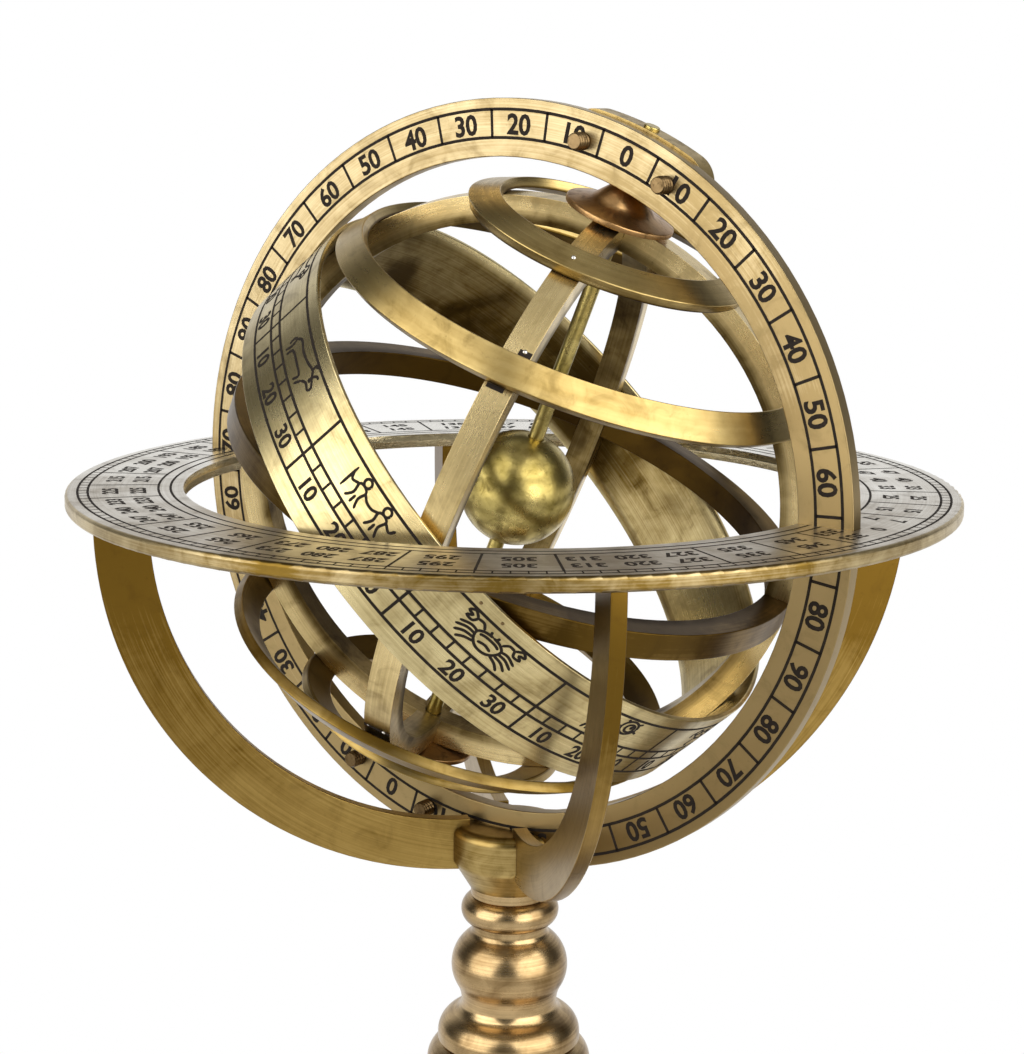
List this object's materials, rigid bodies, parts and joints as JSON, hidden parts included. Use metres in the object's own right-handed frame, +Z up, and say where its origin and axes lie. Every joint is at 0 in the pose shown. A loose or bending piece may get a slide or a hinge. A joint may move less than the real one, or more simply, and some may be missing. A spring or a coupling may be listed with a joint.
{
  "type": "armillary sphere",
  "caption": "Brass table-top armillary sphere: half-lapped rings and a zodiac band turn inside a tilting meridian ring, in a flat horizon ring on arms and a turned column.",
  "frame": {"origin": "centre of the base's underside", "axes": "+Z up the column; the meridian ring lies in the XZ plane and the pole leans towards +X; -Y is the ring's engraved front"},
  "size_m": [0.18, 0.18, 0.3043],
  "materials": {
    "column_brass": "polished and lightly tarnished",
    "steel": "plain, dulled",
    "arm_brass": "brushed along the arms, tarnished",
    "horizon_brass": "brushed round the ring, engraving filled with black",
    "meridian_brass": "brushed round the ring, engraving filled with black",
    "dark_brass": "dark patina, rubbed bright at the edges",
    "rod_brass": "polished",
    "cage_brass": "tarnished, filed edges",
    "band_brass": "brushed, lightly tarnished",
    "zodiac_brass": "brushed, engraving filled with black"
  },
  "bodies": {
    "stand": {"base": "column_brass", "column_lower": "column_brass", "column_collar": "column_brass", "column_upper": "column_brass", "tie_rod": "steel", "base_nut": "steel", "arm_head": "column_brass", "arm_1": "arm_brass", "arm_2": "arm_brass", "arm_3": "arm_brass", "arm_4": "arm_brass", "horizon_ring": "horizon_brass"},
    "meridian": {"meridian_ring": "meridian_brass", "north_block": "dark_brass", "south_block": "dark_brass", "block_screws": "dark_brass", "polar_rod": "rod_brass", "earth_ball": "rod_brass"},
    "sphere": {"solstice_colure": "cage_brass", "equinox_colure": "cage_brass", "equator_ring": "cage_brass", "cancer_hoop": "band_brass", "capricorn_hoop": "band_brass", "arctic_hoop": "band_brass", "antarctic_hoop": "band_brass", "zodiac_band": "zodiac_brass", "north_hub": "dark_brass", "south_hub": "dark_brass"}
  },
  "joints": [
    {"name": "meridian_tilt", "type": "hinge", "parent": "stand", "child": "meridian", "pos_m": [0, 0, 0.22611], "axis": [0, 1, 0], "range_deg": [0, 45]},
    {"name": "polar_spin", "type": "hinge", "parent": "meridian", "child": "sphere", "pos_m": [0, 0.001, 0.22611], "axis": [0.3827, 0, 0.9239], "continuous": true}
  ]
}
